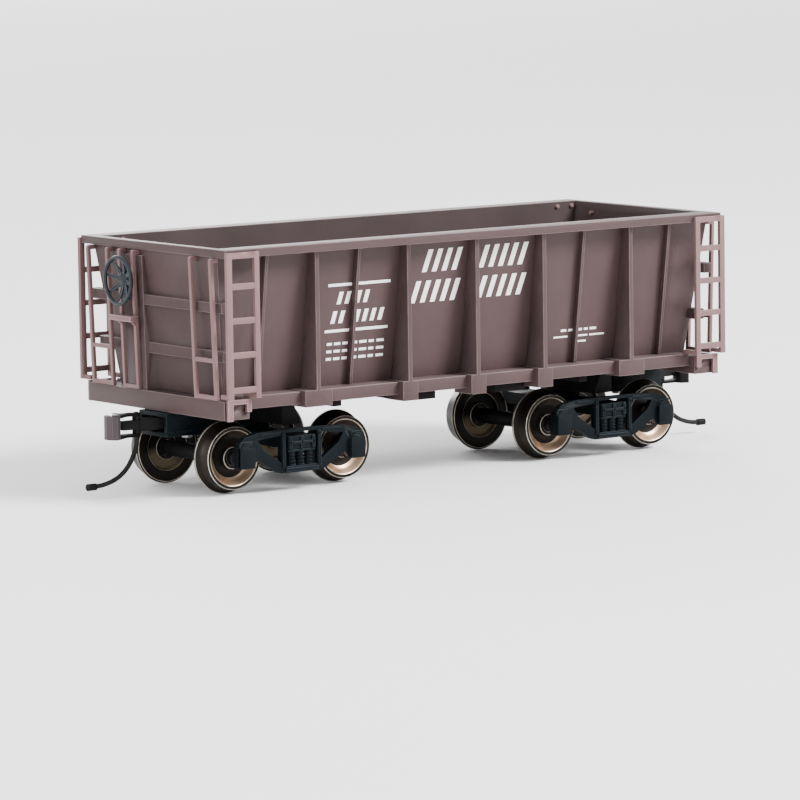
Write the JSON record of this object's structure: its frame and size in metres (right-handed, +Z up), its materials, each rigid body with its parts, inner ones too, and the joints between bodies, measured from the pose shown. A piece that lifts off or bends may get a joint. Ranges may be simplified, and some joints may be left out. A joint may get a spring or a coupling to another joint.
{
  "type": "model hopper car",
  "caption": "Open-top model railway hopper car with ribbed sloping sides, corner ladders, a hand brake wheel, swivelling trucks and swinging knuckle couplers.",
  "frame": {"origin": "on the rails' running plane at the flange bottoms, under the middle of the car", "axes": "+X along the car away from the brake wheel, +Y across it, +Z up"},
  "size_m": [0.1148, 0.0388, 0.0363],
  "materials": {
    "body_brown": "semi-matt mineral brown",
    "fitting_brown": "semi-matt mineral brown, lighter on the thin mouldings",
    "brake_black": "black, slight sheen",
    "truck_black": "blue-black engineering plastic, matt",
    "wheel_dark": "chemically blackened turned metal, polished tread",
    "steel": "plain zinc-plated steel",
    "bronze": "phosphor bronze strip"
  },
  "bodies": {
    "car_body": {"body_shell": "body_brown", "hopper_liner": "body_brown", "underframe": "truck_black", "brake_rack": "fitting_brown", "brake_platform": "fitting_brown", "brake_housing": "brake_black", "ballast_left": "steel", "draft_box_left": "truck_black", "draft_lid_left": "truck_black", "lid_screw_left": "steel", "centering_spring_left": "bronze", "truck_screw_left": "steel", "ballast_right": "steel", "draft_box_right": "truck_black", "draft_lid_right": "truck_black", "lid_screw_right": "steel", "centering_spring_right": "bronze", "truck_screw_right": "steel", "ladder_left_near": "fitting_brown", "ladder_left_far": "fitting_brown", "ladder_right_near": "fitting_brown", "ladder_right_far": "fitting_brown", "end_grab_left_near": "fitting_brown", "end_grab_left_far": "fitting_brown", "end_grab_right_near": "fitting_brown", "end_grab_right_far": "fitting_brown", "stirrup_left_near": "fitting_brown", "stirrup_left_far": "fitting_brown", "stirrup_right_near": "fitting_brown", "stirrup_right_far": "fitting_brown"},
    "brake_hand_wheel": {"brake_wheel": "brake_black"},
    "truck_left": {"truck_bolster_left": "truck_black", "sideframe_left_near": "truck_black", "sideframe_left_far": "truck_black"},
    "wheelset_left_1": {"axle_left_1": "wheel_dark", "wheel_left_1_near": "wheel_dark", "wheel_left_1_far": "wheel_dark"},
    "wheelset_left_2": {"axle_left_2": "wheel_dark", "wheel_left_2_near": "wheel_dark", "wheel_left_2_far": "wheel_dark"},
    "coupler_left": {"coupler_head_left": "truck_black", "knuckle_pin_left": "steel", "trip_pin_left": "wheel_dark"},
    "knuckle_left_body": {"knuckle_left": "truck_black"},
    "truck_right": {"truck_bolster_right": "truck_black", "sideframe_right_near": "truck_black", "sideframe_right_far": "truck_black"},
    "wheelset_right_1": {"axle_right_1": "wheel_dark", "wheel_right_1_near": "wheel_dark", "wheel_right_1_far": "wheel_dark"},
    "wheelset_right_2": {"axle_right_2": "wheel_dark", "wheel_right_2_near": "wheel_dark", "wheel_right_2_far": "wheel_dark"},
    "coupler_right": {"coupler_head_right": "truck_black", "knuckle_pin_right": "steel", "trip_pin_right": "wheel_dark"},
    "knuckle_right_body": {"knuckle_right": "truck_black"}
  },
  "joints": [
    {"name": "brake_wheel_turn", "type": "hinge", "parent": "car_body", "child": "brake_hand_wheel", "pos_m": [-0.047, 0.0054, 0.03064], "axis": [1, 0, 0], "continuous": true},
    {"name": "truck_swivel_left", "type": "hinge", "parent": "car_body", "child": "truck_left", "pos_m": [-0.02885, 0, 0.0093], "axis": [0, 0, 1], "range_deg": [-12, 12]},
    {"name": "wheelset_spin_left_1", "type": "hinge", "parent": "truck_left", "child": "wheelset_left_1", "pos_m": [-0.0386, 0, 0.00534], "axis": [0, 1, 0], "continuous": true},
    {"name": "wheelset_spin_left_2", "type": "hinge", "parent": "truck_left", "child": "wheelset_left_2", "pos_m": [-0.0191, 0, 0.00534], "axis": [0, 1, 0], "continuous": true},
    {"name": "coupler_swing_left", "type": "hinge", "parent": "car_body", "child": "coupler_left", "pos_m": [-0.04, 0, 0.0102], "axis": [0, 0, 1], "range_deg": [-8, 8], "stiffness_Nm_per_rad": 0.002},
    {"name": "knuckle_open_left", "type": "hinge", "parent": "coupler_left", "child": "knuckle_left_body", "pos_m": [-0.053, -0.0012, 0.0102], "axis": [0, 0, 1], "range_deg": [0, 35], "stiffness_Nm_per_rad": 0.0005},
    {"name": "truck_swivel_right", "type": "hinge", "parent": "car_body", "child": "truck_right", "pos_m": [0.02885, 0, 0.0093], "axis": [0, 0, 1], "range_deg": [-12, 12]},
    {"name": "wheelset_spin_right_1", "type": "hinge", "parent": "truck_right", "child": "wheelset_right_1", "pos_m": [0.0191, 0, 0.00534], "axis": [0, 1, 0], "continuous": true},
    {"name": "wheelset_spin_right_2", "type": "hinge", "parent": "truck_right", "child": "wheelset_right_2", "pos_m": [0.0386, 0, 0.00534], "axis": [0, 1, 0], "continuous": true},
    {"name": "coupler_swing_right", "type": "hinge", "parent": "car_body", "child": "coupler_right", "pos_m": [0.04, 0, 0.0102], "axis": [0, 0, 1], "range_deg": [-8, 8], "stiffness_Nm_per_rad": 0.002},
    {"name": "knuckle_open_right", "type": "hinge", "parent": "coupler_right", "child": "knuckle_right_body", "pos_m": [0.053, 0.0012, 0.0102], "axis": [0, 0, 1], "range_deg": [0, 35], "stiffness_Nm_per_rad": 0.0005}
  ]
}
